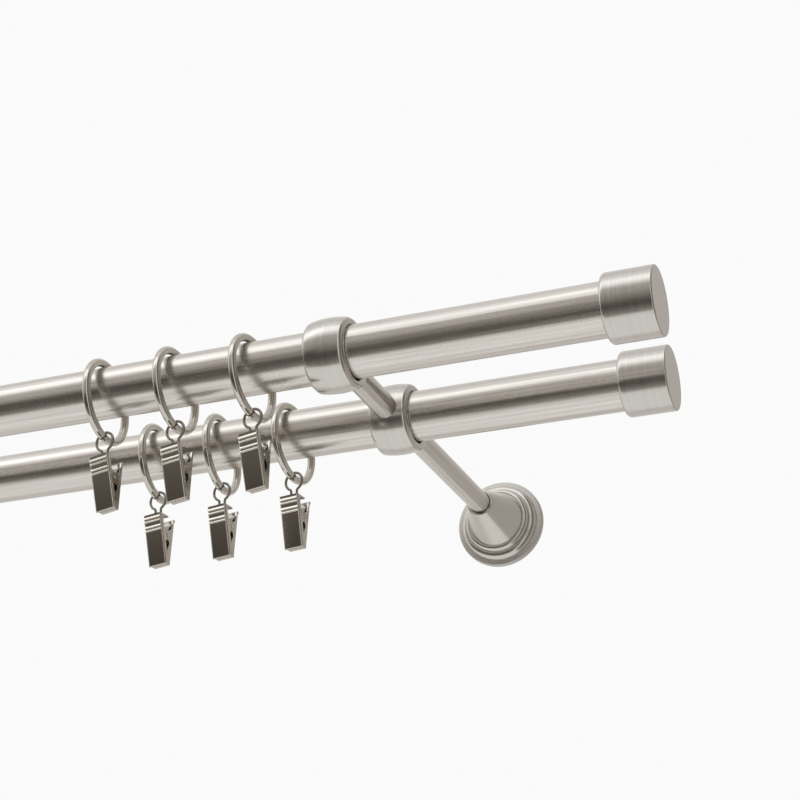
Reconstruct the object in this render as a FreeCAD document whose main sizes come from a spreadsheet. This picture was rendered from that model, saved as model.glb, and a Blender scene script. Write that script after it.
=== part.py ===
import FreeCAD, Part
import math
import os
import re

import Sketcher
from FreeCAD import Placement, Rotation, Vector

# Sizes in millimetres, angles in degrees
SIZES = {
    # two equal tubes, the rear one set back to the left
    "pole_r": 12.5,
    "pole_wall": 1.0,
    "pole_length": 1200.0,
    "front_y": -236.0,
    "rear_y": -159.0,
    "front_overhang": 148.0,
    "rear_setback": 13.0,
    "pole_lift": 0.2,
    # end caps
    "cap_r": 15.75,
    "cap_length": 23.5,
    "cap_wall": 3.0,
    "cap_fit": 0.1,
    "cap_edge": 0.8,
    "cap_rim": 2.0,
    # bracket collars
    "collar_r": 17.5,
    "collar_half": 10.0,
    "collar_crown": 1.3,
    "collar_edge": 2.8,
    "collar_fit": 0.1,
    "collar_mouth": 0.6,
    # bracket rods
    "rod_r": 5.85,
    "spigot_r": 3.0,
    "spigot_length": 3.0,
    "spigot_fit": 0.05,
    # wall plate and the screw that holds the arm on it
    "plate_r": 20.0,
    "plate_t": 3.0,
    "wall_hole_r": 2.25,
    "wall_hole_z": 14.0,
    "arm_screw_r": 2.5,
    "arm_screw_head_r": 5.0,
    "arm_screw_length": 16.0,
    "arm_tap_depth": 14.0,
    # rosette
    "rosette_r": 25.0,
    "rosette_edge": 3.0,
    "step_r": 22.2,
    "step_t": 3.8,
    "step_round": 3.6,
    "groove": 0.4,
    "groove_r": 18.6,
    "groove_t": 7.2,
    "bead_round": 2.3,
    "cone_r": 15.8,
    "cone_t": 11.0,
    "shell": 1.4,
    "lip_r": 7.4,
    "lip_round": 0.8,
    "rosette_round": 0.8,
    "rosette_t": 38.0,
    "rosette_fit": 0.3,
    "plate_fit": 0.3,
    "rosette_screw_t": 29.0,
    "rosette_screw_length": 3.2,
    "guide": 3.0,
    "guide_step": 1.0,
    "head_room": 2.5,
    # small set screws
    "set_r": 1.5,
    "clamp_r": 2.5,
    "screw_sink": 0.5,
    "thread_fit": 0.05,
    # rings
    "ring_r": 19.5,
    "wire_r": 2.0,
    "hang_gap": 0.3,
    # eye that hangs the clip on the ring
    "eye_r": 4.65,
    "eye_wire_r": 0.65,
    "eye_y": -1.0,
    "eye_neck": 1.6,
    "eye_bend": 1.6,
    "eye_foot_r": 1.1,
    "eye_foot_t": 0.7,
    # clip of two folded sheets
    "clip_w": 10.6,
    "sheet": 0.7,
    "fold_z": -11.0,
    "fold_y": 0.4,
    "jaw_top_y": -6.9,
    "jaw_tip_y": -2.2,
    "tip_z": -37.0,
    "bend_r": 1.0,
    "flange": 2.3,
    "rib_out": 0.6,
    "rib_fall": 1.1,
    "rib_nose": 0.35,
    "rib_nose_r": 0.5,
    "rib_margin": 0.6,
    "tooth": 0.4,
    "heel": 3.0,
    "tooth_gap": 0.3,
    "pivot_z": -21.5,
    "pin_r": 0.8,
    "pin_head": 0.35,
    "pin_fit": 0.05,
    "jaw_ear_r": 2.3,
    "ear_neck": 1.2,
    "lever_ear_r": 1.9,
    "lever_gap": 0.2,
    "lever_top_y": 7.0,
    "lever_top_z": -11.4,
    "lever_tip_y": 2.5,
    "lever_roll_r": 0.75,
    "lever_taper": 5.0,
    "notch_top": 2.5,
    "notch_deep": 4.6,
    "notch_low": 8.0,
    # closing spring, a strip bent round the pin
    "strip": 0.4,
    "strip_w": 6.0,
    "strip_r": 1.1,
    "strip_tip_z": -14.0,
}

# Where the rings hang: station along the pole, turn about the vertical and lean of the clip
RINGS = {
    "front_ring_1": (-119.4, 3.0, -7.0),
    "front_ring_2": (-81.6, 1.0, -6.0),
    "front_ring_3": (-41.6, -2.0, -6.0),
    "rear_ring_1": (-133.7, 3.0, -5.0),
    "rear_ring_2": (-97.0, 3.0, -4.0),
    "rear_ring_3": (-56.8, -3.0, -3.0),
}
RING_LEAN = -5.0
CLIP_TURN = -5.0
RIB_DROPS = (1.2, 2.8, 5.8, 7.4)
TEETH = 4

os.makedirs("parts", exist_ok=True)
doc = FreeCAD.newDocument("double_curtain_pole")
sizes = doc.addObject("Spreadsheet::Sheet", "Sizes")
for row, (alias, value) in enumerate(SIZES.items(), 1):
    sizes.set(f"A{row}", alias)
    sizes.set(f"B{row}", str(value))
    sizes.setAlias(f"B{row}", alias)
doc.recompute()

nodes = []


def ex(text):
    """An expression over the sheet's names."""
    return re.sub(r"[a-z]\w*", lambda m: "Sizes." + m[0] if m[0] in SIZES else m[0], str(text))


def num(text):
    return float(sizes.evalExpression(ex(text)))


def place(thing, x=0, y=0, z=0, turn=Rotation()):
    thing.Placement = Placement(Vector(num(x), num(y), num(z)), turn)
    for axis, text in zip("xyz", (x, y, z)):
        thing.setExpression(f"Placement.Base.{axis}", ex(text))
    return thing


def node(thing):
    nodes.append(thing)
    return thing


# Sketches whose points follow the sheet


def new_body(label):
    return doc.addObject("PartDesign::Body", label)


def sketch(body, role, offset=0):
    made = body.newObject("Sketcher::SketchObject", body.Name + "_sketch")
    made.AttachmentSupport = [(next(f for f in body.Origin.OriginFeatures if f.Role == role), "")]
    made.MapMode = "FlatFace"
    made.setExpression("AttachmentOffset.Base.z", ex(offset))
    return made


def fix(made, kind, text, *where):
    number = made.addConstraint(Sketcher.Constraint(kind, *where, num(text)))
    made.setExpression(f"Constraints[{number}]", ex(text))


def polygon(made, points):
    """A closed outline of points (x, y); one with a radius as well starts an arc that bows outwards."""
    at = [Vector(num(x), num(y), 0) for x, y, *_ in points]
    starts, ends = [], []
    for n, (_, _, *bow) in enumerate(points):
        start, end = at[n], at[(n + 1) % len(at)]
        if bow:
            radius, chord = num(bow[0]), end - start
            depth = radius - math.sqrt(max(radius**2 - chord.Length**2 / 4, 0))
            outwards = Vector(-chord.y, chord.x, 0).normalize()
            made.addGeometry(Part.Arc(start, (start + end) / 2 + outwards * depth, end))
            starts.append((n, 2))
            ends.append((n, 1))
            fix(made, "Radius", bow[0], n)
        else:
            made.addGeometry(Part.LineSegment(start, end))
            starts.append((n, 1))
            ends.append((n, 2))
    for n, (x, y, *_) in enumerate(points):
        made.addConstraint(Sketcher.Constraint("Coincident", *ends[n - 1], *starts[n]))
        fix(made, "DistanceX", x, -1, 1, *starts[n])
        fix(made, "DistanceY", y, -1, 1, *starts[n])
    return made


def circle(made, x, y, radius):
    number = made.addGeometry(Part.Circle(Vector(num(x), num(y), 0), Vector(0, 0, 1), num(radius)))
    fix(made, "DistanceX", x, -1, 1, number, 3)
    fix(made, "DistanceY", y, -1, 1, number, 3)
    fix(made, "Radius", radius, number)
    return made


def both_ways(body, kind, profile, length):
    """A pad or pocket that runs equally to both sides of its sketch."""
    made = body.newObject("PartDesign::" + kind, body.Name + "_" + kind.lower())
    made.Profile = profile
    made.Midplane = True
    made.setExpression("Length", ex(length))
    return made


def turned(label, points):
    """A turned piece: points are (along the axis X, radius)."""
    body = new_body(label)
    profile = polygon(sketch(body, "XY_Plane"), points)
    made = body.newObject("PartDesign::Revolution", label + "_turn")
    made.Profile = profile
    made.ReferenceAxis = (profile, ["H_Axis"])
    made.Angle = 360
    return body


def eased(body, size, *rims):
    """Rounds the edges of a turned piece that run round at the given (along, radius)."""
    doc.recompute()
    blank = body.Tip
    wanted = [(num(along), num(radius)) for along, radius in rims]
    edges = [
        f"Edge{n}"
        for n, edge in enumerate(blank.Shape.Edges, 1)
        if isinstance(edge.Curve, Part.Circle)
        and any(
            abs(edge.Curve.Center.x - along) + abs(edge.Curve.Radius - radius) < 0.001
            for along, radius in wanted
        )
    ]
    made = body.newObject("PartDesign::Fillet", body.Name + "_edge")
    made.Base = (blank, edges)
    made.setExpression("Radius", ex(size))
    return body


# Solids cut and joined


def rod(label, radius, length, turn=Rotation(), x=0, y=0, z=0):
    made = doc.addObject("Part::Cylinder", label)
    made.setExpression("Radius", ex(radius))
    made.setExpression("Height", ex(length))
    return place(made, x, y, z, turn)


def joined(label, things):
    made = doc.addObject("Part::MultiFuse", label)
    made.Shapes = things
    return made


def cut(label, base, tools):
    made = doc.addObject("Part::Cut", label)
    made.Base = base
    made.Tool = tools[0] if len(tools) == 1 else joined(label + "_tools", tools)
    return made


def socketed(label, base, radius, depth, length):
    """A screw along Z with a hexagon socket sunk in its far end."""
    hexagon = doc.addObject("Part::Prism", label + "_socket")
    hexagon.Polygon = 6
    hexagon.setExpression("Circumradius", ex(radius))
    hexagon.setExpression("Height", ex(f"2 * ({depth})"))
    place(hexagon, z=f"{length} - ({depth})")
    return cut(label, base, [hexagon])


def set_screw(label, radius, length):
    blank = rod(label + "_blank", radius, length)
    return socketed(label, blank, f"{radius} * 0.58", f"({length}) * 0.5", length)


def group(label, things):
    made = doc.addObject("Part::Compound", label)
    made.Links = things
    return made


ALONG_Y = Rotation(Vector(1, 0, 0), -90)
FROM_WALL = Rotation(Vector(0, 0, 1), -90)
TO_LEFT = Rotation(Vector(0, 0, 1), 180)
BACK_DOWN = Rotation(Vector(0, 0, 1), Vector(0, 1, -1))

# Poles
POLES = {"front": ("front_y", "front_overhang"), "rear": ("rear_y", "front_overhang - rear_setback")}
for which, (pole_y, right_end) in POLES.items():
    inner = "pole_r - pole_wall"
    ends = [(0, inner), ("pole_length", inner), ("pole_length", "pole_r"), (0, "pole_r")]
    node(place(turned(f"{which}_pole", ends), f"{right_end} - pole_length", pole_y, "pole_lift"))

# End caps, pushed over the tubes and held by a set screw on the wall side
cap_screws = []
for which, (pole_y, right_end) in POLES.items():
    for side in ("right", "left"):
        label = f"{which}_{side}_cap"
        bore = "pole_r + cap_fit"
        floor = "cap_length - cap_wall"
        outline = [
            (0, bore),
            (floor, bore),
            (floor, 0),
            ("cap_length", 0),
            ("cap_length", "cap_r"),
            (0, "cap_r"),
        ]
        right = side == "right"
        end = right_end if right else f"{right_end} - pole_length"
        rim = f"{end} - ({floor})" if right else f"{end} + ({floor})"
        screw_x = f"{rim} + cap_length / 2" if right else f"{rim} - cap_length / 2"
        facing = Rotation() if right else TO_LEFT
        drum = eased(turned(label + "_blank", outline), "cap_edge", ("cap_length", "cap_r"))
        blank = place(eased(drum, "cap_rim", (0, "cap_r")), rim, pole_y, "pole_lift", facing)
        hole = rod(label + "_hole", "set_r + thread_fit", "cap_r", ALONG_Y, screw_x, pole_y, "pole_lift")
        node(cut(label, blank, [hole]))
        screw = set_screw(label + "_screw", "set_r", "cap_r - pole_r - thread_fit - screw_sink")
        place(screw, screw_x, f"{pole_y} + pole_r + thread_fit", "pole_lift", ALONG_Y)
        cap_screws.append(screw)
node(group("cap_screws", cap_screws))

# Outline of a collar, the same for the collar and for the coped rod ends
COLLAR_END = "(collar_r - collar_crown)"
BOW = "((collar_half * collar_half + collar_crown * collar_crown) / (2 * collar_crown))"
collar_outline = [("-collar_half", COLLAR_END, BOW), ("collar_half", COLLAR_END)]
collar_rims = [("collar_half", COLLAR_END), ("-collar_half", COLLAR_END)]
BORE = "(pole_r + pole_lift * 1.41421 + collar_fit)"
collar_bore = [
    ("collar_half", f"{BORE} + collar_mouth"),
    ("collar_half - collar_mouth", BORE),
    ("collar_mouth - collar_half", BORE),
    ("-collar_half", f"{BORE} + collar_mouth"),
]
collar_axle = [("collar_half", 0), ("-collar_half", 0)]
EDGE = f"min(collar_edge; ({COLLAR_END} - {BORE} - collar_mouth) * 0.9)"
COLLARS = {"front": "(front_y + pole_lift)", "rear": "(rear_y + pole_lift)"}

# Wall brackets
clamp_screws, arm_screws, rosette_screws = [], [], []
for side, at_x in (("right", "0"), ("left", "2 * front_overhang - pole_length")):
    solid = {}
    for which, collar_y in COLLARS.items():
        barrel = turned(f"{side}_{which}_barrel", collar_outline + collar_axle)
        solid[which] = place(eased(barrel, EDGE, *collar_rims), at_x, collar_y)

    # Wall plate with two screw holes and a countersunk middle hole
    sunk = "arm_screw_head_r + thread_fit"
    middle = "arm_screw_r + thread_fit"
    outline = [
        (0, sunk),
        ("arm_screw_head_r - arm_screw_r", middle),
        ("plate_t", middle),
        ("plate_t", "plate_r"),
        (0, "plate_r"),
    ]
    plate = place(turned(f"{side}_plate_blank", outline), at_x, turn=FROM_WALL)
    holes = [
        rod(f"{side}_wall_hole_{n}", "wall_hole_r", "2 * plate_t", ALONG_Y, at_x, "-1.5 * plate_t", z)
        for n, z in enumerate(("wall_hole_z", "-wall_hole_z"))
    ]
    node(cut(f"{side}_wall_plate", plate, holes))

    # Arm from the plate to the rear collar, coped to it and let in with a spigot
    reach = f"-plate_t - {COLLARS['rear']}"
    arm = rod(f"{side}_arm_rod", "rod_r", reach, ALONG_Y, at_x, COLLARS["rear"])
    tap = rod(
        f"{side}_arm_tap", middle, "2 * arm_tap_depth", ALONG_Y, at_x, "-plate_t - arm_tap_depth"
    )
    spigot_y = f"{COLLARS['rear']} + collar_r - spigot_length"
    spigot = rod(f"{side}_arm_spigot", "spigot_r", "2 * spigot_length", ALONG_Y, at_x, spigot_y)
    coped = cut(f"{side}_arm_coped", arm, [solid["rear"], tap])
    node(joined(f"{side}_arm", [coped, spigot]))

    # Stub between the collars, coped at both ends
    length = f"{COLLARS['rear']} - {COLLARS['front']}"
    stub = rod(f"{side}_stub_rod", "rod_r", length, ALONG_Y, at_x, COLLARS["front"])
    coped = cut(f"{side}_stub_coped", stub, [solid["front"], solid["rear"]])
    starts = (
        f"{COLLARS['front']} + collar_r - spigot_length",
        f"{COLLARS['rear']} - collar_r - spigot_length",
    )
    spigots = [
        rod(f"{side}_stub_spigot_{n}", "spigot_r", "2 * spigot_length", ALONG_Y, at_x, start)
        for n, start in enumerate(starts)
    ]
    node(joined(f"{side}_stub", [coped] + spigots))

    # Collars with holes for the spigots and for the clamp screw
    socket = "collar_r - spigot_length - spigot_fit"
    for which, collar_y in COLLARS.items():
        label = f"{side}_{which}_collar"
        barrel = turned(label + "_blank", collar_outline + collar_bore)
        blank = place(eased(barrel, EDGE, *collar_rims), at_x, collar_y)
        start = f"{collar_y} + {socket}"
        back = rod(label + "_back", "spigot_r + spigot_fit", "collar_r", ALONG_Y, at_x, start)
        clamp = rod(label + "_clamp", "clamp_r + thread_fit", "2 * collar_r", BACK_DOWN, at_x, collar_y)
        tools = [back, clamp]
        if which == "rear":
            start = f"{collar_y} - ({socket}) - collar_r"
            tools.append(rod(label + "_front", "spigot_r + spigot_fit", "collar_r", ALONG_Y, at_x, start))
        node(cut(label, blank, tools))
        tip = "(pole_r - pole_lift * 1.41421 + thread_fit)"
        screw = set_screw(label + "_screw", "clamp_r", f"collar_r - screw_sink - {tip}")
        step = f"{tip} * 0.70711"
        place(screw, at_x, f"{collar_y} + {step}", f"-{step}", BACK_DOWN)
        clamp_screws.append(screw)

    # Rosette that slides along the arm and covers the plate
    cavity = "plate_r + plate_fit"
    bore = "rod_r + rosette_fit"
    outline = [
        (0, cavity),
        (0, "rosette_r"),
        ("rosette_edge", "rosette_r"),
        ("step_t", "step_r", "step_round"),
        ("groove_t", "groove_r"),
        ("groove_t", "groove_r - groove", "bead_round"),
        ("cone_t - groove", "cone_r + groove"),
        ("cone_t - groove", "cone_r"),
        ("rosette_t", "lip_r"),
        ("rosette_t", bore),
        ("rosette_screw_t - guide", bore),
        ("rosette_screw_t - guide - guide_step", f"{bore} + guide_step"),
        ("cone_t - shell", "cone_r - 1.5 * shell"),
        ("plate_t + head_room + guide_step", "cone_r - shell"),
        ("plate_t + head_room", "groove_r - groove"),
        ("plate_t + thread_fit", "groove_r"),
        ("plate_t + thread_fit", cavity),
    ]
    label = f"{side}_rosette"
    shell = eased(turned(label + "_blank", outline), "rosette_round", ("rosette_edge", "rosette_r"))
    blank = place(eased(shell, "lip_round", ("rosette_t", "lip_r")), at_x, turn=FROM_WALL)
    hole = rod(label + "_hole", "set_r + thread_fit", "cone_r", Rotation(), at_x, "-rosette_screw_t")
    node(cut(label, blank, [hole]))
    screw = set_screw(label + "_screw", "set_r", "rosette_screw_length")
    rosette_screws.append(place(screw, at_x, "-rosette_screw_t", "rod_r + thread_fit"))

    # Countersunk screw that holds the arm on the plate
    outline = [
        (0, 0),
        (0, "arm_screw_head_r"),
        ("arm_screw_head_r - arm_screw_r", "arm_screw_r"),
        ("arm_screw_length", "arm_screw_r"),
        ("arm_screw_length", 0),
    ]
    label = f"{side}_arm_screw"
    blank = place(turned(label + "_blank", outline), turn=Rotation(Vector(0, 1, 0), 90))
    screw = socketed(label, blank, "arm_screw_r * 0.69", "arm_screw_r * 0.8", "0")
    arm_screws.append(place(screw, at_x, turn=ALONG_Y))

node(group("collar_screws", clamp_screws))
node(group("arm_screws", arm_screws))
node(group("rosette_screws", rosette_screws))


# Ring units


def wire_eye(label):
    """Round eye that narrows to two legs, each with a foot under the fold."""
    body = new_body(label)
    mean, bend, neck = num("eye_r"), num("eye_bend"), num("eye_neck")
    middle = num("wire_r + hang_gap - eye_r + eye_wire_r")
    shoulder = math.sqrt((mean + bend) ** 2 - (neck + bend) ** 2)
    share = mean / (mean + bend)
    join = ((neck + bend) * share, middle - shoulder * share)
    half = math.pi - math.atan2(shoulder, neck + bend) / 2
    bow = (neck + bend + bend * math.cos(half), middle - shoulder + bend * math.sin(half))
    foot = num("fold_z - sheet - eye_foot_t")

    def at(side, point):
        return Vector(side * point[0], point[1], 0)

    path = sketch(body, "XZ_Plane", "-eye_y")
    top = Vector(0, middle + mean, 0)
    neck_top, neck_end = (neck, middle - shoulder), (neck, foot)
    path.addGeometry(
        [
            Part.LineSegment(at(-1, neck_end), at(-1, neck_top)),
            Part.Arc(at(-1, neck_top), at(-1, bow), at(-1, join)),
            Part.Arc(at(-1, join), top, at(1, join)),
            Part.Arc(at(1, join), at(1, bow), at(1, neck_top)),
            Part.LineSegment(at(1, neck_top), at(1, neck_end)),
        ]
    )
    section = sketch(body, "XY_Plane", "fold_z - sheet - eye_foot_t")
    profile = circle(section, "-eye_neck", "eye_y", "eye_wire_r")
    pipe = body.newObject("PartDesign::AdditivePipe", label + "_wire")
    pipe.Profile = profile
    pipe.Spine = (path, [])
    feet = sketch(body, "XY_Plane", "fold_z - sheet - eye_foot_t / 2")
    for side in ("-", ""):
        circle(feet, f"{side}eye_neck", "eye_y", "eye_foot_r")
    both_ways(body, "Pad", feet, "eye_foot_t")
    return body


def zigzag(shift):
    """The toothed edge across the clip, as points from left to right."""
    inside = "(clip_w / 2 - sheet - lever_gap)"
    steps = range(2 * TEETH + 1)
    return [(f"{inside} * {n / TEETH - 1}", f"{shift} + tooth * {(-1) ** n}") for n in steps]


def front_jaw(label):
    body = new_body(label)
    lean = "((jaw_tip_y - jaw_top_y) / (fold_z - tip_z))"
    edge = f"jaw_top_y + flange + (fold_z - pivot_z) * {lean}"
    rise = "(jaw_ear_r + ear_neck)"
    side = [
        ("jaw_top_y", "fold_z"),
        ("fold_y", "fold_z"),
        ("fold_y", "fold_z - sheet"),
        ("jaw_top_y + flange", "fold_z - 2 * sheet"),
        (f"{edge} - {rise} * {lean}", f"pivot_z + {rise}"),
        ("-jaw_ear_r * 0.3", "pivot_z + jaw_ear_r * 0.95"),
        ("-jaw_ear_r * 0.3", "pivot_z - jaw_ear_r * 0.95"),
        (f"{edge} + {rise} * {lean}", f"pivot_z - {rise}"),
        ("-2 * tooth", "tip_z + heel"),
        ("-2 * tooth", "tip_z"),
        ("jaw_tip_y", "tip_z"),
    ]
    blank = both_ways(body, "Pad", polygon(sketch(body, "YZ_Plane"), side), "clip_w")
    doc.recompute()
    bends = [
        f"Edge{n}"
        for n, edge in enumerate(blank.Shape.Edges, 1)
        if abs(edge.BoundBox.ZLength - num("fold_z - tip_z")) < 0.01
    ]
    bend = body.newObject("PartDesign::Fillet", label + "_bend")
    bend.Base = (blank, bends)
    bend.setExpression("Radius", ex("bend_r"))
    ear = circle(sketch(body, "YZ_Plane"), 0, "pivot_z", "jaw_ear_r")
    both_ways(body, "Pad", ear, "clip_w")
    for drop in RIB_DROPS:
        steps = (f"({drop} + rib_fall + rib_nose)", f"({drop} + rib_fall)", str(drop))
        low, nose, high = (f"jaw_top_y + {lean} * {step}" for step in steps)
        rib = [
            (f"{low} + sheet / 2", f"fold_z - {steps[0]}"),
            (low, f"fold_z - {steps[0]}", "rib_nose_r"),
            (f"{nose} - rib_out", f"fold_z - {steps[1]}"),
            (high, f"fold_z - {steps[2]}"),
            (f"{high} + sheet / 2", f"fold_z - {steps[2]}"),
        ]
        both_ways(body, "Pad", polygon(sketch(body, "YZ_Plane"), rib), "clip_w - 2 * rib_margin")
    skin = "sheet * 1.02"
    hollow = [
        (f"jaw_top_y + {skin} + sheet * {lean}", "fold_z - sheet"),
        (f"jaw_tip_y + {skin} - sheet * {lean}", "tip_z + sheet"),
        ("lever_top_y", "tip_z + sheet"),
        ("lever_top_y", "fold_z - sheet"),
    ]
    both_ways(body, "Pocket", polygon(sketch(body, "YZ_Plane"), hollow), "clip_w - 2 * sheet")
    across = "(clip_w / 2 - sheet - lever_gap)"
    front = "jaw_tip_y + sheet / 2"
    lip = zigzag("-tooth") + [(across, front), (f"-{across}", front)]
    both_ways(body, "Pad", polygon(sketch(body, "XY_Plane", "tip_z + sheet / 2"), lip), "sheet")
    hole = circle(sketch(body, "YZ_Plane"), 0, "pivot_z", "pin_r + pin_fit / 2")
    both_ways(body, "Pocket", hole, "2 * clip_w")
    legs = sketch(body, "XY_Plane", "fold_z")
    for sign in ("-", ""):
        circle(legs, f"{sign}eye_neck", "eye_y", "eye_wire_r + pin_fit")
    both_ways(body, "Pocket", legs, "4 * sheet")
    return body


def lever_jaw(label):
    body = new_body(label)
    width = "(clip_w - 2 * sheet - 2 * lever_gap)"
    lean = "((lever_top_y - lever_tip_y) / (lever_top_z - tip_z))"
    side = [
        ("lever_top_y", "lever_top_z"),
        ("lever_tip_y", "tip_z"),
        ("tooth", "tip_z"),
        ("tooth", "pivot_z - notch_low"),
        ("lever_tip_y - tooth", "pivot_z - notch_deep"),
        ("lever_tip_y - tooth", "pivot_z - notch_top"),
        ("-lever_ear_r * 0.3", "pivot_z - lever_ear_r * 0.9"),
        ("-lever_ear_r * 0.3", "pivot_z + lever_ear_r * 0.9"),
        ("lever_top_y - flange", "lever_top_z - lever_taper"),
        ("lever_top_y - flange / 2", "lever_top_z"),
    ]
    both_ways(body, "Pad", polygon(sketch(body, "YZ_Plane"), side), width)
    rounds = circle(sketch(body, "YZ_Plane"), 0, "pivot_z", "lever_ear_r")
    both_ways(body, "Pad", rounds, width)
    skin = "sheet * 1.01"
    hollow = [
        (f"lever_top_y - {skin} + {lean}", "lever_top_z + 1"),
        (f"lever_tip_y - {skin} + sheet * {lean}", "tip_z + sheet"),
        ("jaw_top_y", "tip_z + sheet"),
        ("jaw_top_y", "lever_top_z + 1"),
    ]
    both_ways(body, "Pocket", polygon(sketch(body, "YZ_Plane"), hollow), f"{width} - 2 * sheet")
    roll = circle(sketch(body, "YZ_Plane"), "lever_top_y", "lever_top_z", "lever_roll_r")
    both_ways(body, "Pad", roll, width)
    across = "(clip_w / 2 - sheet - lever_gap)"
    back = "lever_tip_y - sheet / 2"
    lip = zigzag("tooth_gap - tooth") + [(across, back), (f"-{across}", back)]
    both_ways(body, "Pad", polygon(sketch(body, "XY_Plane", "tip_z + sheet / 2"), lip), "sheet")
    hole = circle(sketch(body, "YZ_Plane"), 0, "pivot_z", "pin_r + pin_fit")
    both_ways(body, "Pocket", hole, "2 * clip_w")
    return body


def strip_spring(label):
    """Strip bent round the pin, an arm on each sheet above the pivot."""
    body = new_body(label)
    sleeve = circle(sketch(body, "YZ_Plane"), 0, "pivot_z", "strip_r + strip")
    both_ways(body, "Pad", sleeve, "strip_w")
    drop = "(fold_z - strip_tip_z)"
    jaw_lean = "((jaw_tip_y - jaw_top_y) / (fold_z - tip_z))"
    lever_lean = "((lever_top_y - lever_tip_y) / (lever_top_z - tip_z))"
    jaw_face = f"jaw_top_y + {jaw_lean} * {drop} + sheet * 1.02 + pin_fit"
    lever_face = f"lever_top_y - {lever_lean} * (lever_top_z - strip_tip_z) - sheet * 1.02 - 2 * pin_fit"
    foot = "strip_r + strip / 2"
    arms = (
        [
            (f"-({foot})", "pivot_z"),
            (f"-({foot}) + strip", "pivot_z + strip_r"),
            (f"{jaw_face} + strip", "strip_tip_z"),
            (jaw_face, "strip_tip_z"),
        ],
        [
            (foot, "pivot_z"),
            (lever_face, "strip_tip_z"),
            (f"{lever_face} - strip", "strip_tip_z"),
            (f"{foot} - strip", "pivot_z + strip_r"),
        ],
    )
    for arm in arms:
        both_ways(body, "Pad", polygon(sketch(body, "YZ_Plane"), arm), "strip_w")
    hole = circle(sketch(body, "YZ_Plane"), 0, "pivot_z", "strip_r")
    both_ways(body, "Pocket", hole, "2 * strip_w")
    return body


for name, (station, turn, lean) in RINGS.items():
    pole_y = "front_y" if name.startswith("front") else "rear_y"
    upright = Rotation(Vector(0, 1, 0), 90)
    ring_turn = Rotation(Vector(0, 0, 1), turn) * Rotation(Vector(0, 1, 0), RING_LEAN)
    middle_z = "pole_lift + pole_r + hang_gap - ring_r + wire_r"
    ring = doc.addObject("Part::Torus", name)
    ring.setExpression("Radius1", ex("ring_r"))
    ring.setExpression("Radius2", ex("wire_r"))
    node(place(ring, station, pole_y, middle_z, ring_turn * upright))

    # The clip's own frame starts in the middle of the wire at the ring's bottom
    down = ring_turn.multVec(Vector(0, 0, -1))
    bottom = [f"{middle} + ring_r * {step:.6f}" for middle, step in zip((station, pole_y, middle_z), down)]
    clip_turn = Rotation(Vector(0, 0, 1), CLIP_TURN) * Rotation(Vector(0, 1, 0), lean)
    for piece, make in (
        ("eye", wire_eye),
        ("jaw", front_jaw),
        ("lever", lever_jaw),
        ("spring", strip_spring),
    ):
        node(place(make(f"{name}_{piece}"), *bottom, clip_turn))
    ends = ("-clip_w / 2 - pin_head", "clip_w / 2")
    pin = rod(f"{name}_pin_rod", "pin_r", "clip_w + 2 * pin_head", upright, ends[0], 0, "pivot_z")
    heads = [
        rod(f"{name}_pin_head_{n}", "pin_r * 1.5", "pin_head", upright, start, 0, "pivot_z")
        for n, start in enumerate(ends)
    ]
    node(place(joined(f"{name}_pin", [pin] + heads), *bottom, clip_turn))

doc.recompute()

# Export
for thing in doc.Objects:
    if "Invalid" in thing.State or "Error" in thing.State:
        raise ValueError(f"{thing.Name} has not been made: {thing.State}")
for thing in nodes:
    if thing.Shape.isNull() or not thing.Shape.isValid():
        raise ValueError(f"{thing.Label} has no valid shape")
    thing.Shape.exportStep(f"parts/{thing.Label}.step")
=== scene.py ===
import math

import bmesh
import bpy
from mathutils import Matrix, Vector


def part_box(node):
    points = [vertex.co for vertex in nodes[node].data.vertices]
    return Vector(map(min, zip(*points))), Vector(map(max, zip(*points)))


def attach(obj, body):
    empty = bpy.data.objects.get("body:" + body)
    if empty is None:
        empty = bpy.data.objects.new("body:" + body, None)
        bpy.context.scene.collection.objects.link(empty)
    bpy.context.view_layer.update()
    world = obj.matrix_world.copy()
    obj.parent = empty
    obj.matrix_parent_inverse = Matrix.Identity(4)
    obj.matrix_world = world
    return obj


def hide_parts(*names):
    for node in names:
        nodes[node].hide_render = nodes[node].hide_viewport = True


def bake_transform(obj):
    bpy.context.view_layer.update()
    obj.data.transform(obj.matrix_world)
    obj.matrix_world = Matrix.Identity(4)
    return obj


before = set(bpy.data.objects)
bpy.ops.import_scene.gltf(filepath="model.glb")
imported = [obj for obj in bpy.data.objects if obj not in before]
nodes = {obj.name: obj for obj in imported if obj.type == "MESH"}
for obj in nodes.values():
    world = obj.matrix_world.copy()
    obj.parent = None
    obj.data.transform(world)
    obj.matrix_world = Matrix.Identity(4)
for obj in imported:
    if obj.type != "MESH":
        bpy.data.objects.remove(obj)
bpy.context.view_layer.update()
X, Y, Z = range(3)

# Photograph's viewpoint, in metres and radians: the lens stands low on the right and looks up
LENS_MM = 76.5
SENSOR_MM = 36.0
EYE = Vector((0.289133, -0.869011, -0.338972))
YAW, PITCH, ROLL = 0.3856957, 0.4278958, 0.012

# Surroundings and floor, in metres and plain brightness
BACKGROUND = 0.96
FLOOR_Z = -1.5
FLOOR_SIZE = 200.0
FLOOR_COLOUR = (0.9, 0.9, 0.89)
FLOOR_ROUGH = 0.9

# Places of the cards that the metal reflects, in metres
STUDIO_LEFT, STUDIO_RIGHT = -7.0, 6.0
ROOM_Y, ROOM_RIGHT, ROOM_TOP = -1.35, 0.25, 0.95
WALL_Y, WALL_SPLIT = 1.2, 0.12
CEILING_Z, CEILING_FRONT = 2.6, -0.2
SCREEN_X, SCREEN_TOP = 0.7, 2.0
CLIP_CARD_Y = -0.55
CLIP_CARD_LEFT, CLIP_CARD_RIGHT = -0.5, -0.18
CLIP_CARD_LOW, CLIP_CARD_TOP = -0.08, 0.02

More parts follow.
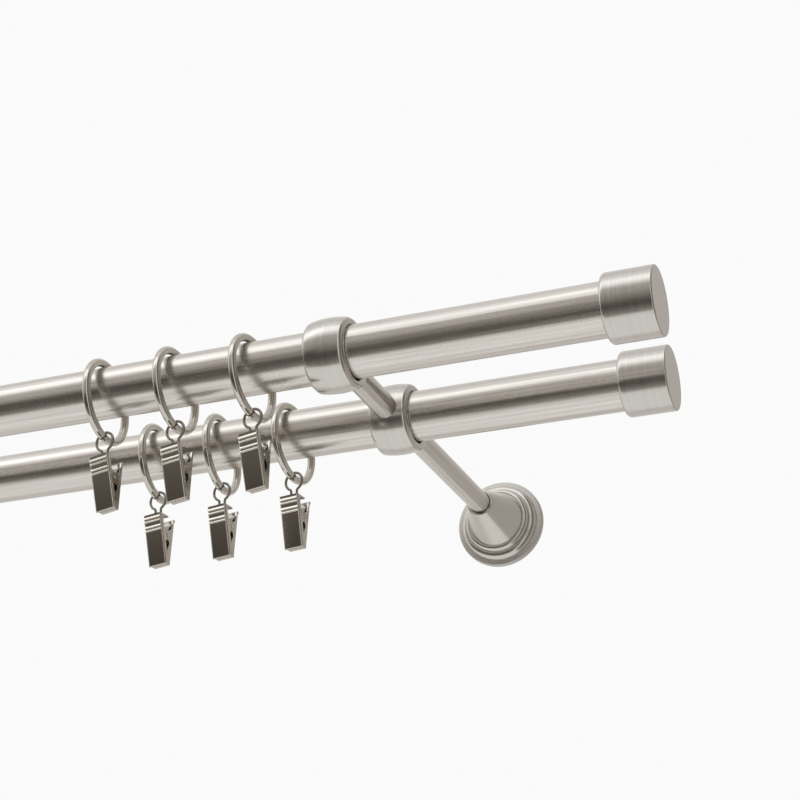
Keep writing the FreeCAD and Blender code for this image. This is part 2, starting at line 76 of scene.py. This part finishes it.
# Cards as (place along the graded axis, brightness), and how brown their darks are
ROOM_TONES = (
    (FLOOR_Z, 0.3),
    (-0.85, 0.17),
    (-0.54, 0.07),
    (-0.29, 0.1),
    (-0.06, 0.22),
    (0.17, 0.33),
    (0.42, 0.45),
    (ROOM_TOP, 0.52),
)
WALL_LEFT_TONES = ((FLOOR_Z, 0.66), (-0.55, 0.68), (0.3, 0.72), (CEILING_Z, 0.85))
WALL_RIGHT_TONES = ((FLOOR_Z, 0.45), (0.4, 0.5), (CEILING_Z, 0.6))
CEILING_TONES = ((CEILING_FRONT, 0.78), (WALL_Y, 0.74))
SCREEN_TONES = ((ROOM_Y, 0.16), (-0.5, 0.2), (0.0, 0.45), (WALL_Y, 0.5))
CLIP_CARD_TONES = ((CLIP_CARD_LOW, 0.06), (-0.04, 0.08), (-0.015, 0.13), (CLIP_CARD_TOP, 0.22))
WARMTH = 0.16

# Softbox in metres, its halves as (name, left end, right end, watts), turned to the line AIM_Y at height 0
SOFTBOX_HALVES = (("softbox_left", -2.5, -0.75, 3.5), ("softbox_right", -0.75, 1.5, 3.0))
SOFTBOX_DEPTH = 0.8
SOFTBOX_Y, SOFTBOX_Z = -1.2, 1.8
AIM_Y = -0.2

# Colours of the metals
SATIN = (0.67, 0.64, 0.6)
TURNED = (0.62, 0.595, 0.56)
NICKEL = (0.6, 0.57, 0.52)
CLIP_NICKEL = (0.6, 0.565, 0.51)
WIRE_NICKEL = (0.32, 0.295, 0.25)
PLATED = (0.6, 0.6, 0.61)
SCREW = (0.34, 0.34, 0.35)
STRIP = (0.5, 0.49, 0.47)

# Patterns per metre: fine scratches and broad streaks, each across and along, then turning lines and clouds
FINE, COARSE = 2600.0, 14.0
BROAD, LONG = 520.0, 2.5
TURNING = 2400.0
CLOUDS, CLOUD_DETAIL = 45.0, 4.0

# How strongly lines and clouds show: depths in metres, wear as a change of roughness
TURNING_DEPTH, SCRATCH_DEPTH, PITTED_DEPTH = 0.000004, 0.00001, 0.00002
RELIEF = 0.35
CLOUD_WEAR = 0.04
DARK_BELOW, LIGHT_ABOVE = 0.4, 0.6

# Rosettes, whose flange is rougher outside this radius
FLANGE_R = 0.0222
FLANGE_MATT = 0.3

# Tubes: the wall in metres, then the sides round and the steps along
POLE_WALL = 0.001
POLE_SIDES, POLE_STEPS = 128, 24


# Node helpers


def link(tree, source, target):
    tree.links.new(source, target)


def math_node(tree, operation, *values):
    """A calculation with nodes' outputs or plain numbers."""
    made = tree.nodes.new("ShaderNodeMath")
    made.operation = operation
    for socket, value in zip(made.inputs, values):
        if hasattr(value, "is_linked"):
            link(tree, value, socket)
        else:
            socket.default_value = value
    return made.outputs["Value"]


def ramp(tree, source, stops):
    made = tree.nodes.new("ShaderNodeValToRGB")
    link(tree, source, made.inputs["Fac"])
    elements = made.color_ramp.elements
    while len(elements) < len(stops):
        elements.new(0.5)
    for element, (position, colour) in zip(elements, stops):
        element.position = position
        element.color = (*colour, 1.0)
    return made.outputs["Color"]


def to_range(tree, source, low, high):
    made = tree.nodes.new("ShaderNodeMapRange")
    link(tree, source, made.inputs["Value"])
    made.inputs["To Min"].default_value = low
    made.inputs["To Max"].default_value = high
    return made.outputs["Result"]


def noise(tree, vector, detail=3.0, rough=0.6):
    made = tree.nodes.new("ShaderNodeTexNoise")
    link(tree, vector, made.inputs["Vector"])
    made.inputs["Scale"].default_value = 1.0
    made.inputs["Detail"].default_value = detail
    made.inputs["Roughness"].default_value = rough
    return made.outputs["Fac"]


def scaled_place(tree, scale, centre=(0, 0, 0)):
    """The point on the piece, seen from centre and stretched by scale."""
    place = tree.nodes.new("ShaderNodeTexCoord").outputs["Object"]
    moved = tree.nodes.new("ShaderNodeVectorMath")
    moved.operation = "SUBTRACT"
    link(tree, place, moved.inputs[0])
    moved.inputs[1].default_value = centre
    made = tree.nodes.new("ShaderNodeVectorMath")
    made.operation = "MULTIPLY"
    link(tree, moved.outputs["Vector"], made.inputs[0])
    made.inputs[1].default_value = scale
    return made.outputs["Vector"]


def from_axis(tree, axis, centre):
    """The distance from the line through centre along one axis."""
    across = [1.0] * 3
    across[axis] = 0.0
    length = tree.nodes.new("ShaderNodeVectorMath")
    length.operation = "LENGTH"
    link(tree, scaled_place(tree, across, centre), length.inputs[0])
    return length.outputs["Value"]


# Patterns of the metals: each gives a function that draws it in a material's tree


def grained(per_metre):
    return lambda tree: noise(tree, scaled_place(tree, (per_metre,) * 3))


def brushed(axis):
    """Fine scratches over broader streaks, all along one axis."""

    def draw(tree):
        parts = []
        for across, along in ((FINE, COARSE), (BROAD, LONG)):
            scale = [across] * 3
            scale[axis] = along
            parts.append(noise(tree, scaled_place(tree, scale)))
        return math_node(tree, "MULTIPLY", math_node(tree, "ADD", *parts), 1 / len(parts))

    return draw


def lathed(axis, centre):
    """Fine turning lines round an axis, on the side and on the end faces."""

    def draw(tree):
        parts = tree.nodes.new("ShaderNodeSeparateXYZ")
        link(tree, scaled_place(tree, (1, 1, 1), centre), parts.inputs[0])
        reach = math_node(tree, "ADD", parts.outputs[axis], from_axis(tree, axis, centre))
        joined = tree.nodes.new("ShaderNodeCombineXYZ")
        link(tree, math_node(tree, "MULTIPLY", reach, TURNING), joined.inputs[0])
        others = [n for n in (X, Y, Z) if n != axis]
        for target, n in zip(joined.inputs[1:], others):
            link(tree, math_node(tree, "MULTIPLY", parts.outputs[n], COARSE), target)
        return noise(tree, joined.outputs["Vector"])

    return draw


def matt_outside(axis, centre, radius):
    """More roughness at a distance of more than radius from an axis."""

    def draw(tree):
        outside = math_node(tree, "GREATER_THAN", from_axis(tree, axis, centre), radius)
        return math_node(tree, "MULTIPLY", outside, FLANGE_MATT)

    return draw


def metal(name, colour, pattern, depth, rough, spread=0.08, tone=0.06, duller=None):
    """A metal whose pattern shows in its tone, its roughness and a slight relief."""
    made = bpy.data.materials.new(name)
    made.use_nodes = True
    tree = made.node_tree
    shader = tree.nodes["Principled BSDF"]
    shader.inputs["Metallic"].default_value = 1.0
    scratches = pattern(tree)
    clouds = noise(tree, scaled_place(tree, (CLOUDS,) * 3), detail=CLOUD_DETAIL)
    light = tuple(min(1.0, c * (1 + tone)) for c in colour)
    dark = tuple(c * (1 - tone) for c in colour)
    tones = ramp(tree, scratches, ((DARK_BELOW, dark), (LIGHT_ABOVE, light)))
    link(tree, tones, shader.inputs["Base Color"])
    scratched = to_range(tree, scratches, -spread, spread)
    clouded = to_range(tree, clouds, -CLOUD_WEAR, CLOUD_WEAR)
    worn = math_node(tree, "ADD", scratched, clouded)
    if duller:
        worn = math_node(tree, "ADD", worn, duller(tree))
    link(tree, math_node(tree, "ADD", worn, rough), shader.inputs["Roughness"])
    relief = tree.nodes.new("ShaderNodeBump")
    relief.inputs["Strength"].default_value = RELIEF
    relief.inputs["Distance"].default_value = depth
    link(tree, scratches, relief.inputs["Height"])
    link(tree, relief.outputs["Normal"], shader.inputs["Normal"])
    return made


def nickel(name, colour, per_metre, rough, spread):
    return metal(name, colour, grained(per_metre), SCRATCH_DEPTH, rough, spread, tone=0.03)


# Pieces


def dress(name, material):
    mesh = nodes[name].data
    mesh.materials.clear()
    mesh.materials.append(material)


def middle(name):
    low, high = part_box(name)
    return tuple((Vector(low) + Vector(high)) / 2)


def turned(name, axis, rough, matt_from=None):
    """Dress a turned piece, matt outside the radius matt_from where it has one."""
    centre = middle(name)
    duller = matt_outside(axis, centre, matt_from) if matt_from else None
    lines = lathed(axis, centre)
    dress(name, metal(f"turned_{name}", TURNED, lines, TURNING_DEPTH, rough, tone=0.05, duller=duller))


def tube(node, material):
    """A finely divided tube in the place of a node that is one."""
    low, high = (Vector(c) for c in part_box(node))
    centre = (low + high) / 2
    outer = (high.z - low.z) / 2
    angles = [2 * math.pi * n / POLE_SIDES for n in range(POLE_SIDES)]
    mesh = bmesh.new()
    rounds = []
    for radius, ends in ((outer, (low.x, high.x)), (outer - POLE_WALL, (high.x, low.x))):
        for step in range(POLE_STEPS + 1):
            x = ends[0] + (ends[1] - ends[0]) * step / POLE_STEPS
            points = [(x, centre.y + radius * math.cos(a), centre.z + radius * math.sin(a)) for a in angles]
            rounds.append([mesh.verts.new(point) for point in points])
    rims = (POLE_STEPS, 2 * POLE_STEPS + 1)
    for n, here in enumerate(rounds):
        there = rounds[(n + 1) % len(rounds)]
        for k in range(POLE_SIDES):
            after = (k + 1) % POLE_SIDES
            face = mesh.faces.new((here[k], here[after], there[after], there[k]))
            face.smooth = n not in rims
    for edge in mesh.edges:
        edge.smooth = all(face.smooth for face in edge.link_faces)
    bmesh.ops.recalc_face_normals(mesh, faces=mesh.faces)
    data = bpy.data.meshes.new(node + "_tube")
    mesh.to_mesh(data)
    mesh.free()
    data.materials.append(material)
    made = bpy.data.objects.new(node + "_tube", data)
    bpy.context.scene.collection.objects.link(made)
    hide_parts(node)
    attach(made, "pole_frame")


def bent_spring(unit, material):
    """The strip spring of a clip, copied in its own material in the place of its node, which is hidden."""
    node = f"{unit}_spring"
    data = nodes[node].data.copy()
    data.materials.clear()
    data.materials.append(material)
    made = bpy.data.objects.new(node + "_strip", data)
    bpy.context.scene.collection.objects.link(made)
    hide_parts(node)
    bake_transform(made)


# Satin steel, brushed along the tubes and rods and round the turned pieces
pole_steel, rod_steel = (
    metal(f"satin_along_{'xy'[axis]}", SATIN, brushed(axis), SCRATCH_DEPTH, rough=0.26, tone=0.14)
    for axis in (X, Y)
)
for name in ("front_pole", "rear_pole"):
    tube(name, pole_steel)
for side in ("right", "left"):
    for name in (f"{side}_arm", f"{side}_stub"):
        dress(name, rod_steel)
for side in ("right", "left"):
    for pole in ("front", "rear"):
        turned(f"{pole}_{side}_cap", X, rough=0.22)
        turned(f"{side}_{pole}_collar", X, rough=0.2)
    turned(f"{side}_rosette", Y, rough=0.22, matt_from=FLANGE_R)

# Wall plates, screws and spring strip
plated = metal("plated", PLATED, grained(per_metre=900), PITTED_DEPTH, rough=0.35)
screw = metal("screw_steel", SCREW, grained(per_metre=1500), PITTED_DEPTH, rough=0.35)
strip = metal("strip", STRIP, brushed(Z), SCRATCH_DEPTH, rough=0.3)
for name in ("right_wall_plate", "left_wall_plate"):
    dress(name, plated)
for name in ("cap_screws", "collar_screws", "arm_screws", "rosette_screws"):
    dress(name, screw)

# Nickel rings and clips
ring_nickel = nickel("ring_nickel", NICKEL, per_metre=500, rough=0.08, spread=0.04)
clip_nickel = nickel("clip_nickel", CLIP_NICKEL, per_metre=700, rough=0.1, spread=0.03)
wire_nickel = nickel("wire_nickel", WIRE_NICKEL, per_metre=700, rough=0.14, spread=0.03)
for unit in (f"{pole}_ring_{n}" for pole in ("front", "rear") for n in (1, 2, 3)):
    dress(unit, ring_nickel)
    dress(f"{unit}_eye", wire_nickel)
    for piece in ("jaw", "lever", "pin"):
        dress(f"{unit}_{piece}", clip_nickel)
    bent_spring(unit, strip)


# Studio: white surroundings, a pale floor, graded cards that the metal reflects and a softbox in two halves


def plane(name, corners, material):
    mesh = bpy.data.meshes.new(name)
    mesh.from_pydata([Vector(c) for c in corners], [], [tuple(range(len(corners)))])
    mesh.materials.append(material)
    made = bpy.data.objects.new(name, mesh)
    bpy.context.scene.collection.objects.link(made)
    return made


def warm(value):
    """A grey that is browner the darker it is."""
    tint = WARMTH * max(0.0, 1.0 - value / BACKGROUND)
    return value * (1 + tint / 2), value * (1 - tint / 4), value * (1 - tint)


def card(name, corners, axis, stops):
    """A flat card that only reflections show, graded along one axis by (place, brightness)."""
    material = bpy.data.materials.new(name)
    material.use_nodes = True
    tree = material.node_tree
    tree.nodes.clear()
    glow = tree.nodes.new("ShaderNodeEmission")
    out = tree.nodes.new("ShaderNodeOutputMaterial")
    link(tree, glow.outputs["Emission"], out.inputs["Surface"])
    parts = tree.nodes.new("ShaderNodeSeparateXYZ")
    link(tree, tree.nodes.new("ShaderNodeTexCoord").outputs["Object"], parts.inputs[0])
    share = tree.nodes.new("ShaderNodeMapRange")
    link(tree, parts.outputs[axis], share.inputs["Value"])
    first, last = stops[0][0], stops[-1][0]
    share.inputs["From Min"].default_value = first
    share.inputs["From Max"].default_value = last
    graded = [((place - first) / (last - first), warm(value)) for place, value in stops]
    link(tree, ramp(tree, share.outputs["Result"], graded), glow.inputs["Color"])
    made = plane(name, corners, material)
    made.visible_camera = False
    made.visible_diffuse = False
    made.visible_shadow = False


def upright_at(y, left, right, low, high):
    return [(left, y, low), (right, y, low), (right, y, high), (left, y, high)]


def level_at(z, left, right, front, back):
    return [(left, front, z), (right, front, z), (right, back, z), (left, back, z)]


scene = bpy.context.scene
world = bpy.data.worlds.new("studio")
world.use_nodes = True
world.node_tree.nodes["Background"].inputs["Color"].default_value = (BACKGROUND,) * 3 + (1.0,)
scene.world = world

floor_paint = bpy.data.materials.new("floor")
floor_paint.use_nodes = True
floor_shader = floor_paint.node_tree.nodes["Principled BSDF"]
floor_shader.inputs["Base Color"].default_value = (*FLOOR_COLOUR, 1.0)
floor_shader.inputs["Roughness"].default_value = FLOOR_ROUGH
half = FLOOR_SIZE / 2
plane("floor", level_at(FLOOR_Z, -half, half, -half, half), floor_paint)

# Dark room before the poles, wall behind, ceiling, a screen on the right and a dark card before the clips
card("room_card", upright_at(ROOM_Y, STUDIO_LEFT, ROOM_RIGHT, FLOOR_Z, ROOM_TOP), Z, ROOM_TONES)
card("wall_left", upright_at(WALL_Y, STUDIO_LEFT, WALL_SPLIT, FLOOR_Z, CEILING_Z), Z, WALL_LEFT_TONES)
card("wall_right", upright_at(WALL_Y, WALL_SPLIT, STUDIO_RIGHT, FLOOR_Z, CEILING_Z), Z, WALL_RIGHT_TONES)
card("ceiling", level_at(CEILING_Z, STUDIO_LEFT, STUDIO_RIGHT, CEILING_FRONT, WALL_Y), Y, CEILING_TONES)
screen_corners = ((ROOM_Y, FLOOR_Z), (WALL_Y, FLOOR_Z), (WALL_Y, SCREEN_TOP), (ROOM_Y, SCREEN_TOP))
card("right_screen", [(SCREEN_X, y, z) for y, z in screen_corners], Y, SCREEN_TONES)
clip_corners = upright_at(CLIP_CARD_Y, CLIP_CARD_LEFT, CLIP_CARD_RIGHT, CLIP_CARD_LOW, CLIP_CARD_TOP)
card("clip_card", clip_corners, Z, CLIP_CARD_TONES)

# One long softbox, dimmer on the right
for name, left, right, watts in SOFTBOX_HALVES:
    lamp = bpy.data.lights.new(name, "AREA")
    lamp.shape = "RECTANGLE"
    lamp.size, lamp.size_y = right - left, SOFTBOX_DEPTH
    lamp.energy = watts
    softbox = bpy.data.objects.new(name, lamp)
    scene.collection.objects.link(softbox)
    softbox.location = ((left + right) / 2, SOFTBOX_Y, SOFTBOX_Z)
    softbox.rotation_euler = (math.atan2(AIM_Y - SOFTBOX_Y, SOFTBOX_Z), 0.0, 0.0)

# Camera
ahead = Vector((-math.sin(YAW) * math.cos(PITCH), math.cos(YAW) * math.cos(PITCH), math.sin(PITCH)))
level = Vector((math.cos(YAW), math.sin(YAW), 0.0))
upright = level.cross(ahead)
sideways = level * math.cos(ROLL) + upright * math.sin(ROLL)
upwards = upright * math.cos(ROLL) - level * math.sin(ROLL)
lens = bpy.data.cameras.new("camera")
lens.lens, lens.sensor_width = LENS_MM, SENSOR_MM
camera = bpy.data.objects.new("camera", lens)
scene.collection.objects.link(camera)
camera.matrix_world = Matrix.Translation(EYE) @ Matrix((sideways, upwards, -ahead)).transposed().to_4x4()
scene.camera = camera

scene.view_settings.view_transform = "Standard"
